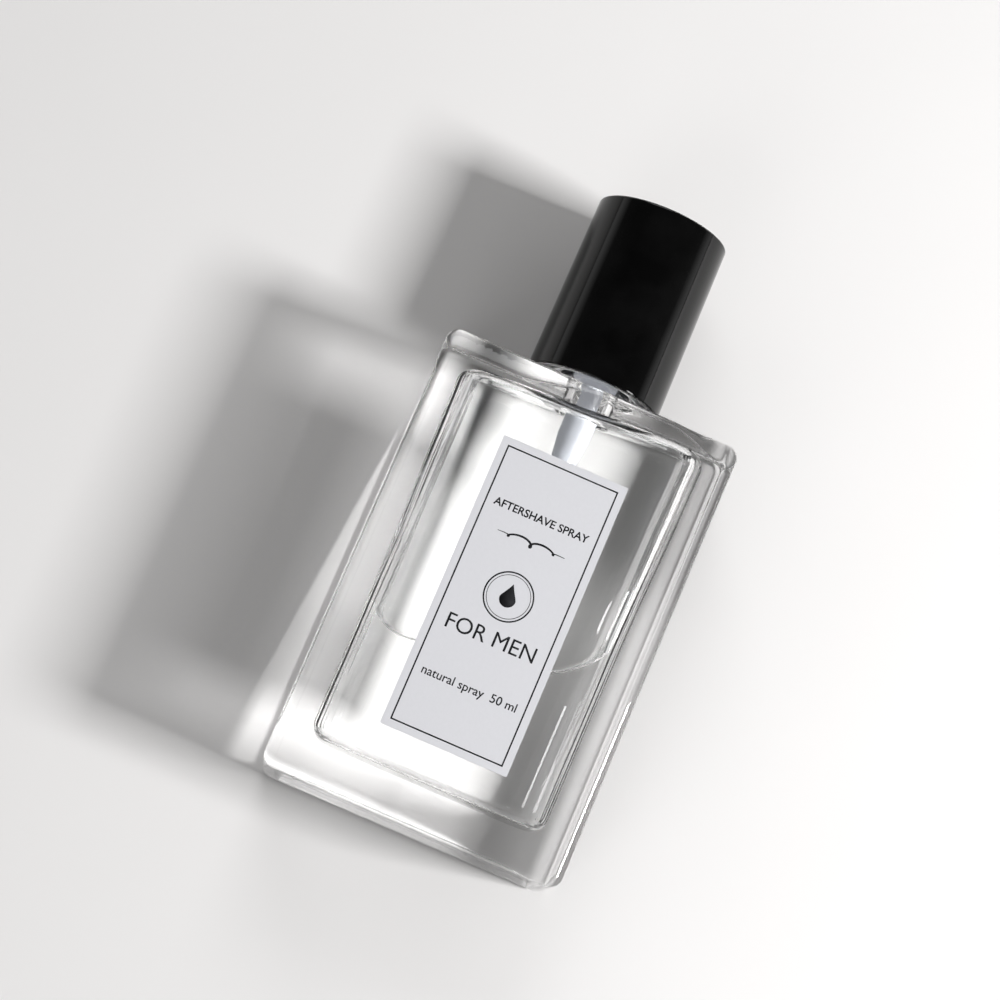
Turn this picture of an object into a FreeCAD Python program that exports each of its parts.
import FreeCAD, Part

"""Flat glass aftershave bottle with a crimped spray pump and a pull-off cap.

Millimetres. Every piece is drawn standing up, with its own Z along the bottle's axis, the base at
height 0 and the label facing -Y. lay_down() then turns the finished piece into the part's frame:
the bottle lies on its back, +Z up, the label facing +Z, the cap towards +Y and the origin on the
table under the middle of the whole length.
"""

import math
import os

# ---- glass body -------------------------------------------------------------------------------
BODY_WIDTH = 58.0
BODY_DEPTH = 28.0
BODY_HEIGHT = 87.4
OUTLINE_CORNER = 3.6
EDGE_ROUND = 2.0
BASE_RECESS_DEPTH = 0.4
BASE_RECESS_MARGIN = 6.0
CAVITY_WIDTH = 46.0
CAVITY_DEPTH = 19.0
CAVITY_FLOOR_Z = 8.5
CAVITY_TOP_Z = 83.0
CAVITY_CORNER = 5.5
CAVITY_END_ROUND = 3.5

# ---- glass neck -------------------------------------------------------------------------------
NECK_FOOT_RADIUS = 8.0
NECK_FOOT_HEIGHT = 1.2
NECK_RADIUS = 6.6
BEAD_RADIUS = 7.5
BEAD_HEIGHT = 4.0
NECK_ROUND = 0.5
NECK_TOP_Z = 95.2
BORE_RADIUS = 4.9
JOIN_DEPTH = 1.0

# ---- label and liquid -------------------------------------------------------------------------
LABEL_WIDTH = 24.7
LABEL_HEIGHT = 57.2
LABEL_THICKNESS = 0.12
LABEL_OFFSET_X = 0.2
LABEL_CENTRE_Z = 43.5
WALL_FILM = 0.05
BUBBLE_WIDTH = 44.0
BUBBLE_THICKNESS = 3.2
BUBBLE_LOW_Z = 33.5
BUBBLE_CORNER = 14.0

# ---- closure on the neck ----------------------------------------------------------------------
GASKET_THICKNESS = 0.8
GASKET_INNER_RADIUS = 5.1
GASKET_OUTER_RADIUS = 7.2
FLANGE_THICKNESS = 1.2
SHEET = 0.4
FERRULE_INNER_RADIUS = 7.6
FERRULE_LIP_RADIUS = 6.9
FERRULE_LIP_Z = 90.5
FERRULE_HOLE_RADIUS = 3.0
COLLAR_INNER_RADIUS = 8.1
COLLAR_OUTER_RADIUS = 8.8
COLLAR_LOW_Z = 89.9
COLLAR_TOP_Z = 104.0
COLLAR_LIP_THICKNESS = 0.6
COLLAR_LIP_RADIUS = 6.6
COLLAR_EDGE_ROUND = 0.3

# ---- pump -------------------------------------------------------------------------------------
BARREL_RADIUS = 4.5
BARREL_LOW_Z = 90.5
HOUSING_RADIUS = 3.1
HOUSING_LOW_Z = 79.0
NIPPLE_RADIUS = 2.2
NIPPLE_TOP_Z = 72.0
NIPPLE_LOW_Z = 64.0
CYLINDER_RADIUS = 2.1
SPRING_SEAT_Z = 79.6
CAGE_RADIUS = 1.65
CAGE_LOW_Z = 77.0
INLET_RADIUS = 0.8
SOCKET_RADIUS = 1.6
SOCKET_TOP_Z = 73.5
TURRET_SEAT_Z = 95.0
TURRET_SEAT_RADIUS = 3.4
BALL_RADIUS = 1.5
BALL_SEAT_GAP = 0.02
TUBE_RADIUS = 1.57
TUBE_BORE_RADIUS = 0.95
TUBE_TOP_Z = 72.9
TUBE_LOW_Z = 16.5
SEAL_THICKNESS = 0.36
SLIDE_FIT = 0.05
STEM_RADIUS = 1.3
STEM_BORE_RADIUS = 0.45
STEM_LOW_Z = 90.65
STEM_TOP_Z = 107.0
STEM_STOP_RADIUS = 1.9
STEM_STOP_THICKNESS = 0.8
STEM_FIT = 0.06
TURRET_BOSS_RADIUS = 2.8
TURRET_TOP_Z = 98.0
PISTON_LOW_Z = 90.0
PISTON_HEIGHT = 3.0
PISTON_WAIST = 0.35
PISTON_LIP = 0.7
VALVE_SEAT_Z = 101.0
VALVE_BORE_RADIUS = 0.8
VALVE_BALL_RADIUS = 0.6
SPRING_WIRE = 0.4
SPRING_MEAN_RADIUS = 1.6
SPRING_TURNS = 8
VALVE_SPRING_WIRE = 0.2
VALVE_SPRING_MEAN_RADIUS = 0.5
VALVE_SPRING_TURNS = 7
END_GAP = 0.02

# ---- spray button -----------------------------------------------------------------------------
BUTTON_RADIUS = 6.3
BUTTON_LOW_Z = 103.0
BUTTON_TOP_Z = 113.0
BUTTON_ROUND = 0.7
BUTTON_WALL = 1.1
BUTTON_ROOF_Z = 107.6
HUB_RADIUS = 2.6
HUB_LOW_Z = 103.2
HUB_FIT = 0.02
PAD_SPHERE_RADIUS = 22.0
PAD_DEPTH = 0.6
NOZZLE_Z = 110.0
NOZZLE_RADIUS = 1.9
NOZZLE_DEPTH = 2.2
NOZZLE_FIT = 0.02
NOZZLE_FLUSH = 0.15
CHANNEL_RADIUS = 0.45
SWIRL_RADIUS = 0.8
SWIRL_DEPTH = 0.9
ORIFICE_RADIUS = 0.2
ORIFICE_MOUTH_RADIUS = 0.9
ORIFICE_MOUTH_DEPTH = 0.5

# ---- cap --------------------------------------------------------------------------------------
CAP_RIM_Z = 89.0
CAP_LENGTH = 35.4
CAP_RIM_RADIUS = 13.2
CAP_END_RADIUS = 12.9
CAP_WALL = 1.5
CAP_ROOF = 2.0
CAP_END_ROUND = 0.5
CAP_RIM_ROUND = 0.3
LINER_INNER_RADIUS = 8.88
LINER_OUTER_RADIUS = 9.8
LINER_LOW_Z = 90.1
LINER_ROOF_Z = 118.2
LINER_ROOF = 1.2
LINER_FLANGE_RADIUS = 11.4
LINER_FLANGE = 1.0
LINER_STOP_RADIUS = 7.2
LINER_STOP = 1.0
LINER_STOP_GAP = 0.05
RIB_COUNT = 8
RIB_THICKNESS = 0.9
RIB_RADIUS = 11.2
RIB_TOP_Z = 116.0

# ---- worked out -------------------------------------------------------------------------------
TOTAL_LENGTH = CAP_RIM_Z + CAP_LENGTH
FULL_TURN = 360.0
QUARTER_TURN = 90.0
PARALLEL_COSINE = 0.999
SAME_PLACE = 1e-4
SEAT_HALF_ANGLE = math.radians(45.0)
FLANGE_LOW_Z = NECK_TOP_Z + GASKET_THICKNESS
FLANGE_TOP_Z = FLANGE_LOW_Z + FLANGE_THICKNESS
BEAD_LOW_Z = NECK_TOP_Z - BEAD_HEIGHT
Z_AXIS = FreeCAD.Vector(0, 0, 1)
FRONT = FreeCAD.Vector(0, -1, 0)


def turned(profile):
    """Solid of revolution about the bottle's axis from (radius, height) corner points."""
    corners = [FreeCAD.Vector(radius, 0, height) for radius, height in profile]
    wire = Part.makePolygon(corners + corners[:1])
    return Part.Face(wire).revolve(FreeCAD.Vector(), Z_AXIS, FULL_TURN)


def disc(radius, low, high, inner_radius=0.0):
    """Upright cylinder between two heights, with an optional round hole through it."""
    solid = Part.makeCylinder(radius, high - low, FreeCAD.Vector(0, 0, low))
    if inner_radius:
        solid = solid.cut(Part.makeCylinder(inner_radius, high - low, FreeCAD.Vector(0, 0, low)))
    return solid


def block(width, depth, low, high):
    """Box centred on the axis, between two heights."""
    corner = FreeCAD.Vector(-width / 2, -depth / 2, low)
    return Part.makeBox(width, depth, high - low, corner)


def edges_along(shape, axis):
    """Straight edges parallel to an axis, given as a unit vector."""
    picked = []
    for edge in shape.Edges:
        if len(edge.Vertexes) != 2:
            continue
        run = edge.Vertexes[1].Point - edge.Vertexes[0].Point
        if run.Length > 0 and abs(run.normalize().dot(axis)) > PARALLEL_COSINE:
            picked.append(edge)
    return picked


def edges_at(shape, axis, offsets):
    """Edges that lie in planes square to an axis, at any of the given distances along it."""
    picked = []
    for edge in shape.Edges:
        heights = [vertex.Point.dot(axis) for vertex in edge.Vertexes]
        heights.append(edge.CenterOfMass.dot(axis))
        if any(all(abs(height - offset) < SAME_PLACE for height in heights) for offset in offsets):
            picked.append(edge)
    return picked


def outer_rims(shape, heights, radius):
    """Round edges of one radius at any of the given heights."""
    return [
        edge for edge in edges_at(shape, Z_AXIS, heights)
        if abs(edge.Curve.Radius - radius) < SAME_PLACE
    ]


def coil(mean_radius, wire, low, high, turns):
    """Round-wire helical spring between two heights."""
    wire_radius = wire / 2
    pitch = (high - low - wire) / turns
    path = Part.makeHelix(pitch, pitch * turns, mean_radius)
    path.translate(FreeCAD.Vector(0, 0, low + wire_radius))
    start = FreeCAD.Vector(mean_radius, 0, low + wire_radius)
    heading = FreeCAD.Vector(0, 2 * math.pi * mean_radius, pitch)
    section = Part.Wire(Part.makeCircle(wire_radius, start, heading))
    return Part.Wire(path).makePipeShell([section], True, True)


def cavity(film=0.0):
    """The bottle's inner space up to its shoulder, shrunk all round by a film."""
    box = block(
        CAVITY_WIDTH - 2 * film,
        CAVITY_DEPTH - 2 * film,
        CAVITY_FLOOR_Z + film,
        CAVITY_TOP_Z - film,
    )
    box = box.makeFillet(CAVITY_CORNER, edges_along(box, Z_AXIS))
    ends = edges_at(box, Z_AXIS, [CAVITY_FLOOR_Z + film, CAVITY_TOP_Z - film])
    return box.makeFillet(CAVITY_END_ROUND, ends)


def glass_bottle():
    """Thick flat glass body with rounded edges, a bored neck and the bead the pump clamps on."""
    body = block(BODY_WIDTH, BODY_DEPTH, 0, BODY_HEIGHT)
    body = body.makeFillet(OUTLINE_CORNER, edges_along(body, FRONT))
    body = body.makeFillet(EDGE_ROUND, edges_at(body, FRONT, [-BODY_DEPTH / 2, BODY_DEPTH / 2]))
    neck = turned([
        (0, BODY_HEIGHT - JOIN_DEPTH),
        (NECK_FOOT_RADIUS, BODY_HEIGHT - JOIN_DEPTH),
        (NECK_FOOT_RADIUS, BODY_HEIGHT + NECK_FOOT_HEIGHT),
        (NECK_RADIUS, BODY_HEIGHT + NECK_FOOT_HEIGHT),
        (NECK_RADIUS, BEAD_LOW_Z),
        (BEAD_RADIUS, BEAD_LOW_Z),
        (BEAD_RADIUS, NECK_TOP_Z),
        (0, NECK_TOP_Z),
    ])
    foot_rim = outer_rims(neck, [BODY_HEIGHT + NECK_FOOT_HEIGHT], NECK_FOOT_RADIUS)
    bead_rims = outer_rims(neck, [BEAD_LOW_Z, NECK_TOP_Z], BEAD_RADIUS)
    neck = neck.makeFillet(NECK_ROUND, foot_rim + bead_rims)
    recess = block(
        BODY_WIDTH - 2 * BASE_RECESS_MARGIN,
        BODY_DEPTH - 2 * BASE_RECESS_MARGIN,
        -JOIN_DEPTH,
        BASE_RECESS_DEPTH,
    )
    recess = recess.makeFillet(BASE_RECESS_MARGIN / 2, edges_along(recess, Z_AXIS))
    bore = disc(BORE_RADIUS, CAVITY_TOP_Z - JOIN_DEPTH, NECK_TOP_Z + JOIN_DEPTH)
    return body.fuse(neck).cut(recess).cut(cavity()).cut(bore).removeSplitter()


def air_bubble():
    """Flat bubble under the front wall: square at the shoulder, rounded towards the base."""
    half_width = BUBBLE_WIDTH / 2
    bubble = Part.makeBox(
        BUBBLE_WIDTH,
        BUBBLE_THICKNESS,
        BODY_HEIGHT - BUBBLE_LOW_Z,
        FreeCAD.Vector(-half_width, -CAVITY_DEPTH / 2, BUBBLE_LOW_Z),
    )
    low_edges = [
        edge for edge in edges_along(bubble, FRONT)
        if abs(edge.CenterOfMass.z - BUBBLE_LOW_Z) < WALL_FILM
    ]
    return bubble.makeFillet(BUBBLE_CORNER, low_edges)


def aftershave():
    """The liquid: the inner space less the air bubble and the pump parts that hang in it."""
    liquid = cavity(WALL_FILM).cut(air_bubble())
    hanging = turned([
        (0, NIPPLE_LOW_Z - WALL_FILM),
        (NIPPLE_RADIUS + WALL_FILM, NIPPLE_LOW_Z - WALL_FILM),
        (NIPPLE_RADIUS + WALL_FILM, NIPPLE_TOP_Z),
        (HOUSING_RADIUS + WALL_FILM, HOUSING_LOW_Z),
        (HOUSING_RADIUS + WALL_FILM, CAVITY_TOP_Z),
        (0, CAVITY_TOP_Z),
    ])
    tube = disc(TUBE_RADIUS + WALL_FILM, TUBE_LOW_Z - WALL_FILM, NIPPLE_LOW_Z)
    return liquid.cut(hanging).cut(tube)


def front_label():
    """Thin paper label stuck on the front face, a little right of its middle."""
    corner = FreeCAD.Vector(
        LABEL_OFFSET_X - LABEL_WIDTH / 2,
        -BODY_DEPTH / 2 - LABEL_THICKNESS,
        LABEL_CENTRE_Z - LABEL_HEIGHT / 2,
    )
    return Part.makeBox(LABEL_WIDTH, LABEL_THICKNESS, LABEL_HEIGHT, corner)


def neck_gasket():
    """Flat ring between the glass and the pump's flange."""
    return disc(GASKET_OUTER_RADIUS, NECK_TOP_Z, FLANGE_LOW_Z, GASKET_INNER_RADIUS)


def crimp_ferrule():
    """Pressed aluminium cup, rolled in under the glass bead and open for the stem."""
    inner = FERRULE_INNER_RADIUS
    outer = inner + SHEET
    return turned([
        (FERRULE_HOLE_RADIUS, FLANGE_TOP_Z),
        (inner, FLANGE_TOP_Z),
        (inner, BEAD_LOW_Z),
        (FERRULE_LIP_RADIUS, FERRULE_LIP_Z + SHEET),
        (FERRULE_LIP_RADIUS, FERRULE_LIP_Z),
        (inner, FERRULE_LIP_Z),
        (outer, BEAD_LOW_Z),
        (outer, FLANGE_TOP_Z + SHEET),
        (FERRULE_HOLE_RADIUS, FLANGE_TOP_Z + SHEET),
    ])


def collar_sleeve():
    """Metal sleeve that hides the ferrule; its turned-in lip guides the spray button."""
    lip_low = COLLAR_TOP_Z - COLLAR_LIP_THICKNESS
    sleeve = turned([
        (COLLAR_INNER_RADIUS, COLLAR_LOW_Z),
        (COLLAR_OUTER_RADIUS, COLLAR_LOW_Z),
        (COLLAR_OUTER_RADIUS, COLLAR_TOP_Z),
        (COLLAR_LIP_RADIUS, COLLAR_TOP_Z),
        (COLLAR_LIP_RADIUS, lip_low),
        (COLLAR_INNER_RADIUS, lip_low),
    ])
    return sleeve.makeFillet(COLLAR_EDGE_ROUND, outer_rims(sleeve, [COLLAR_TOP_Z], COLLAR_OUTER_RADIUS))


def pump_housing():
    """Moulded pump body: flange, barrel in the neck, taper, ball seat and tube socket."""
    seat_low = CAGE_LOW_Z - (CAGE_RADIUS - INLET_RADIUS) / math.tan(SEAT_HALF_ANGLE)
    return turned([
        (SOCKET_RADIUS, NIPPLE_LOW_Z),
        (NIPPLE_RADIUS, NIPPLE_LOW_Z),
        (NIPPLE_RADIUS, NIPPLE_TOP_Z),
        (HOUSING_RADIUS, HOUSING_LOW_Z),
        (HOUSING_RADIUS, BARREL_LOW_Z),
        (BARREL_RADIUS, BARREL_LOW_Z),
        (BARREL_RADIUS, FLANGE_LOW_Z),
        (GASKET_OUTER_RADIUS, FLANGE_LOW_Z),
        (GASKET_OUTER_RADIUS, FLANGE_TOP_Z),
        (TURRET_SEAT_RADIUS, FLANGE_TOP_Z),
        (TURRET_SEAT_RADIUS, TURRET_SEAT_Z),
        (CYLINDER_RADIUS, TURRET_SEAT_Z),
        (CYLINDER_RADIUS, SPRING_SEAT_Z),
        (CAGE_RADIUS, SPRING_SEAT_Z),
        (CAGE_RADIUS, CAGE_LOW_Z),
        (INLET_RADIUS, seat_low),
        (INLET_RADIUS, SOCKET_TOP_Z),
        (SOCKET_RADIUS, SOCKET_TOP_Z),
    ])


def dip_tube():
    """Straight tube from the pump's socket down behind the label, open above the inside of the base."""
    return disc(TUBE_RADIUS, TUBE_LOW_Z, TUBE_TOP_Z, TUBE_BORE_RADIUS)


def inlet_ball():
    """Steel ball that closes the inlet when the button is pressed."""
    cone_tip = CAGE_LOW_Z - CAGE_RADIUS / math.tan(SEAT_HALF_ANGLE)
    centre_z = cone_tip + BALL_RADIUS / math.sin(SEAT_HALF_ANGLE) + BALL_SEAT_GAP
    return Part.makeSphere(BALL_RADIUS, FreeCAD.Vector(0, 0, centre_z))


def return_spring():
    """Spring under the piston that lifts the button again."""
    return coil(
        SPRING_MEAN_RADIUS,
        SPRING_WIRE,
        SPRING_SEAT_Z + END_GAP,
        PISTON_LOW_Z - END_GAP,
        SPRING_TURNS,
    )


def pump_piston():
    """Piston with a lip at each end, pushed on the foot of the stem."""
    radius = CYLINDER_RADIUS - SLIDE_FIT
    top = PISTON_LOW_Z + PISTON_HEIGHT
    socket = STEM_RADIUS + HUB_FIT
    socket_low = STEM_LOW_Z - END_GAP
    return turned([
        (STEM_BORE_RADIUS, PISTON_LOW_Z),
        (radius, PISTON_LOW_Z),
        (radius, PISTON_LOW_Z + PISTON_LIP),
        (radius - PISTON_WAIST, PISTON_LOW_Z + PISTON_LIP + PISTON_WAIST),
        (radius - PISTON_WAIST, top - PISTON_LIP - PISTON_WAIST),
        (radius, top - PISTON_LIP),
        (radius, top),
        (socket, top),
        (socket, socket_low),
        (STEM_BORE_RADIUS, socket_low),
    ])


def pump_stem():
    """Hollow stem with its stop collar and, near the top, the outlet valve's bore."""
    stop_top = TURRET_SEAT_Z - END_GAP
    stop_low = stop_top - STEM_STOP_THICKNESS
    return turned([
        (STEM_BORE_RADIUS, STEM_LOW_Z),
        (STEM_RADIUS, STEM_LOW_Z),
        (STEM_RADIUS, stop_low),
        (STEM_STOP_RADIUS, stop_low),
        (STEM_STOP_RADIUS, stop_top),
        (STEM_RADIUS, stop_top),
        (STEM_RADIUS, STEM_TOP_Z),
        (VALVE_BORE_RADIUS, STEM_TOP_Z),
        (VALVE_BORE_RADIUS, VALVE_SEAT_Z),
        (STEM_BORE_RADIUS, VALVE_SEAT_Z),
    ])


def stem_seal():
    """Thin rubber ring that wipes the stem under the turret."""
    low = TURRET_SEAT_Z + END_GAP
    radius = TURRET_SEAT_RADIUS - SLIDE_FIT
    return disc(radius, low, low + SEAL_THICKNESS, STEM_RADIUS + STEM_FIT)


def pump_turret():
    """Bushing that closes the pump body, guides the stem and shows through the ferrule."""
    bore = STEM_RADIUS + STEM_FIT
    low = TURRET_SEAT_Z + SEAL_THICKNESS + 2 * END_GAP
    radius = TURRET_SEAT_RADIUS - SLIDE_FIT
    return turned([
        (bore, low),
        (radius, low),
        (radius, FLANGE_TOP_Z - END_GAP),
        (TURRET_BOSS_RADIUS, FLANGE_TOP_Z - END_GAP),
        (TURRET_BOSS_RADIUS, TURRET_TOP_Z),
        (bore, TURRET_TOP_Z),
    ])


def outlet_ball_centre():
    """Height of the outlet ball's centre when it sits on the edge of the stem's bore."""
    return VALVE_SEAT_Z + math.sqrt(VALVE_BALL_RADIUS ** 2 - STEM_BORE_RADIUS ** 2) + BALL_SEAT_GAP


def outlet_ball():
    """Small ball that keeps the chamber shut until there is pressure."""
    return Part.makeSphere(VALVE_BALL_RADIUS, FreeCAD.Vector(0, 0, outlet_ball_centre()))


def outlet_spring():
    """Light spring that holds the outlet ball on its seat."""
    shoulder = math.sqrt(VALVE_BALL_RADIUS ** 2 - VALVE_SPRING_MEAN_RADIUS ** 2)
    low = outlet_ball_centre() + shoulder + VALVE_SPRING_WIRE / 2
    return coil(
        VALVE_SPRING_MEAN_RADIUS,
        VALVE_SPRING_WIRE,
        low,
        STEM_TOP_Z - END_GAP,
        VALVE_SPRING_TURNS,
    )


def facing_front(length, radius, front_y, end_radius=None):
    """Cylinder, or cone, on the nozzle's line, running inwards from front_y."""
    base = FreeCAD.Vector(0, front_y, NOZZLE_Z)
    inwards = FRONT * -1
    if end_radius is None:
        return Part.makeCylinder(radius, length, base, inwards)
    return Part.makeCone(radius, end_radius, length, base, inwards)


def actuator():
    """Round spray button: dished top, hollow skirt, hub on the stem and a seat for the nozzle."""
    button = disc(BUTTON_RADIUS, BUTTON_LOW_Z, BUTTON_TOP_Z)
    button = button.makeFillet(BUTTON_ROUND, edges_at(button, Z_AXIS, [BUTTON_TOP_Z]))
    pad_centre = FreeCAD.Vector(0, 0, BUTTON_TOP_Z - PAD_DEPTH + PAD_SPHERE_RADIUS)
    pad = Part.makeSphere(PAD_SPHERE_RADIUS, pad_centre)
    hollow = disc(BUTTON_RADIUS - BUTTON_WALL, BUTTON_LOW_Z, BUTTON_ROOF_Z, HUB_RADIUS)
    foot = disc(HUB_RADIUS, BUTTON_LOW_Z, HUB_LOW_Z)
    socket = disc(STEM_RADIUS + HUB_FIT, BUTTON_LOW_Z, STEM_TOP_Z + END_GAP)
    riser = disc(CHANNEL_RADIUS, STEM_TOP_Z, NOZZLE_Z)
    channel = facing_front(BUTTON_RADIUS, CHANNEL_RADIUS, -BUTTON_RADIUS)
    seat = facing_front(NOZZLE_DEPTH, NOZZLE_RADIUS, -BUTTON_RADIUS)
    for space in (pad, hollow, foot, socket, riser, channel, seat):
        button = button.cut(space)
    return button


def nozzle_insert():
    """Round insert in the button: swirl chamber behind, spray hole and flared mouth in front."""
    front_y = -BUTTON_RADIUS + NOZZLE_FLUSH
    length = NOZZLE_DEPTH - NOZZLE_FLUSH - NOZZLE_FIT
    insert = facing_front(length, NOZZLE_RADIUS - NOZZLE_FIT, front_y)
    mouth = facing_front(ORIFICE_MOUTH_DEPTH, ORIFICE_MOUTH_RADIUS, front_y, ORIFICE_RADIUS)
    hole = facing_front(length, ORIFICE_RADIUS, front_y)
    swirl = facing_front(SWIRL_DEPTH, SWIRL_RADIUS, front_y + length - SWIRL_DEPTH)
    button_skin = disc(BUTTON_RADIUS - NOZZLE_FIT, BUTTON_LOW_Z, BUTTON_TOP_Z)
    return insert.cut(mouth).cut(hole).cut(swirl).common(button_skin)


def cap_radius(height):
    """Outer radius of the cap at a height: it narrows slightly towards its end."""
    share = (height - CAP_RIM_Z) / CAP_LENGTH
    return CAP_RIM_RADIUS + (CAP_END_RADIUS - CAP_RIM_RADIUS) * share


def cap_shell():
    """Plain round outer shell of the cap."""
    shell = turned([
        (0, CAP_RIM_Z),
        (CAP_RIM_RADIUS, CAP_RIM_Z),
        (CAP_END_RADIUS, TOTAL_LENGTH),
        (0, TOTAL_LENGTH),
    ])
    shell = shell.makeFillet(CAP_END_ROUND, edges_at(shell, Z_AXIS, [TOTAL_LENGTH]))
    shell = shell.makeFillet(CAP_RIM_ROUND, edges_at(shell, Z_AXIS, [CAP_RIM_Z]))
    roof_z = TOTAL_LENGTH - CAP_ROOF
    inside = turned([
        (0, CAP_RIM_Z),
        (CAP_RIM_RADIUS - CAP_WALL, CAP_RIM_Z),
        (cap_radius(roof_z) - CAP_WALL, roof_z),
        (0, roof_z),
    ])
    return shell.cut(inside)


def cap_liner():
    """Inner sleeve of the cap: it grips the collar, stops on it, and has ribs to the shell."""
    stop_low = COLLAR_TOP_Z + LINER_STOP_GAP
    flange_top = LINER_LOW_Z + LINER_FLANGE
    roof_top = LINER_ROOF_Z + LINER_ROOF
    liner = turned([
        (LINER_INNER_RADIUS, LINER_LOW_Z),
        (LINER_FLANGE_RADIUS, LINER_LOW_Z),
        (LINER_FLANGE_RADIUS, flange_top),
        (LINER_OUTER_RADIUS, flange_top),
        (LINER_OUTER_RADIUS, roof_top),
        (0, roof_top),
        (0, LINER_ROOF_Z),
        (LINER_INNER_RADIUS, LINER_ROOF_Z),
        (LINER_INNER_RADIUS, stop_low + LINER_STOP),
        (LINER_STOP_RADIUS, stop_low + LINER_STOP),
        (LINER_STOP_RADIUS, stop_low),
        (LINER_INNER_RADIUS, stop_low),
    ])
    rib_start = (LINER_INNER_RADIUS + LINER_OUTER_RADIUS) / 2
    for index in range(RIB_COUNT):
        rib = Part.makeBox(
            RIB_RADIUS - rib_start,
            RIB_THICKNESS,
            RIB_TOP_Z - LINER_LOW_Z,
            FreeCAD.Vector(rib_start, -RIB_THICKNESS / 2, LINER_LOW_Z),
        )
        rib.rotate(FreeCAD.Vector(), Z_AXIS, FULL_TURN * index / RIB_COUNT)
        liner = liner.fuse(rib)
    return liner.removeSplitter()


def lay_down(shape):
    """Turn an upright piece into the part's frame, lying on its back with the label up."""
    placed = shape.copy()
    placed.rotate(FreeCAD.Vector(), FreeCAD.Vector(1, 0, 0), -QUARTER_TURN)
    placed.translate(FreeCAD.Vector(0, -TOTAL_LENGTH / 2, BODY_DEPTH / 2))
    return placed


PIECES = [
    glass_bottle,
    aftershave,
    front_label,
    neck_gasket,
    crimp_ferrule,
    collar_sleeve,
    pump_housing,
    dip_tube,
    inlet_ball,
    return_spring,
    pump_piston,
    pump_stem,
    stem_seal,
    pump_turret,
    outlet_ball,
    outlet_spring,
    actuator,
    nozzle_insert,
    cap_shell,
    cap_liner,
]


def main():
    """Write one STEP file per piece."""
    os.makedirs("parts", exist_ok=True)
    for make in PIECES:
        lay_down(make()).exportStep(f"parts/{make.__name__}.step")


main()
